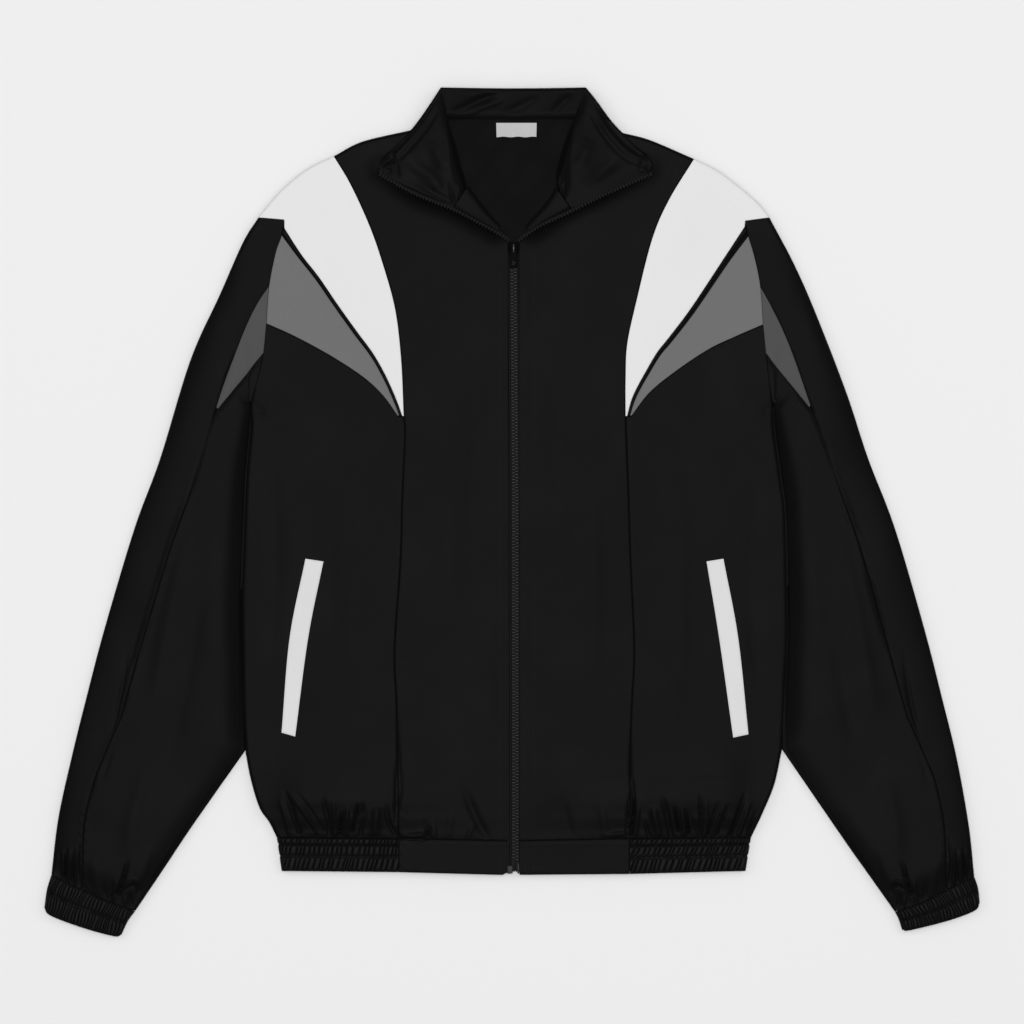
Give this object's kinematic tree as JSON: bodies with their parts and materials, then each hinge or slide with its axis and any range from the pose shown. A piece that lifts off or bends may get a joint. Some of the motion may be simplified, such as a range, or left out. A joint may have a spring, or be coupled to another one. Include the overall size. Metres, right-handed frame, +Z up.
{
  "type": "windbreaker",
  "caption": "zipped windbreaker laid flat on its back, collar opened, black with white shoulder inserts, grey chest inserts, angled welts and elastic cuffs and hem",
  "frame": {"origin": "middle of the footprint's bounding box, on the surface that the jacket lies on", "axes": "+X to the right of the picture, across the jacket from cuff to cuff; +Y from the hem to the collar; +Z up, off the surface"},
  "size_m": [0.861, 0.781, 0.0131],
  "materials": {
    "back": "matt black polyester",
    "front_centre_left": "matt black polyester",
    "front_centre_right": "matt black polyester",
    "front_side_left": "matt black polyester",
    "front_side_right": "matt black polyester",
    "shoulder_insert_left": "matt white polyester",
    "shoulder_insert_right": "matt white polyester",
    "piping_left": "matt black polyester",
    "piping_right": "matt black polyester",
    "chest_insert_left": "matt mid grey polyester",
    "chest_insert_right": "matt mid grey polyester",
    "sleeve_outer_left": "matt black polyester",
    "sleeve_outer_right": "matt black polyester",
    "sleeve_under_left": "matt black polyester",
    "sleeve_under_right": "matt black polyester",
    "sleeve_insert_left": "matt dark grey polyester",
    "sleeve_insert_right": "matt dark grey polyester",
    "cuff_left": "matt black polyester",
    "cuff_right": "matt black polyester",
    "hem_flat_left": "matt black polyester",
    "hem_flat_right": "matt black polyester",
    "facing_left": "matt black polyester",
    "facing_right": "matt black polyester",
    "pocket_welt_left": "matt pale grey polyester",
    "pocket_welt_right": "matt pale grey polyester",
    "zip_row_left": "moulded plastic, slightly shiny",
    "zip_row_right": "moulded plastic, slightly shiny",
    "zip_tape_left": "woven zip tape",
    "zip_tape_right": "woven zip tape",
    "hem_elastic": "matt black polyester",
    "collar": "matt black polyester",
    "neck_label": "woven label, blank",
    "zip_chain": "moulded plastic, slightly shiny",
    "zip_box": "moulded plastic, slightly shiny",
    "zip_slider": "dark enamelled metal",
    "zip_pull": "dark enamelled metal"
  },
  "bodies": {
    "jacket": {"back": "back", "front_centre_left": "front_centre_left", "front_centre_right": "front_centre_right", "front_side_left": "front_side_left", "front_side_right": "front_side_right", "shoulder_insert_left": "shoulder_insert_left", "shoulder_insert_right": "shoulder_insert_right", "piping_left": "piping_left", "piping_right": "piping_right", "chest_insert_left": "chest_insert_left", "chest_insert_right": "chest_insert_right", "sleeve_outer_left": "sleeve_outer_left", "sleeve_outer_right": "sleeve_outer_right", "sleeve_under_left": "sleeve_under_left", "sleeve_under_right": "sleeve_under_right", "sleeve_insert_left": "sleeve_insert_left", "sleeve_insert_right": "sleeve_insert_right", "cuff_left": "cuff_left", "cuff_right": "cuff_right", "hem_flat_left": "hem_flat_left", "hem_flat_right": "hem_flat_right", "facing_left": "facing_left", "facing_right": "facing_right", "pocket_welt_left": "pocket_welt_left", "pocket_welt_right": "pocket_welt_right", "zip_row_left": "zip_row_left", "zip_row_right": "zip_row_right", "zip_tape_left": "zip_tape_left", "zip_tape_right": "zip_tape_right", "hem_elastic": "hem_elastic", "collar": "collar", "neck_label": "neck_label", "zip_chain": "zip_chain", "zip_box": "zip_box", "zip_slider": "zip_slider"},
    "pull": {"zip_pull": "zip_pull"}
  },
  "joints": [
    {"name": "pull_swing", "type": "hinge", "parent": "jacket", "child": "pull", "pos_m": [0.0015, 0.2432, 0.0099], "axis": [-1, 0, 0], "range_deg": [0, 160]}
  ]
}
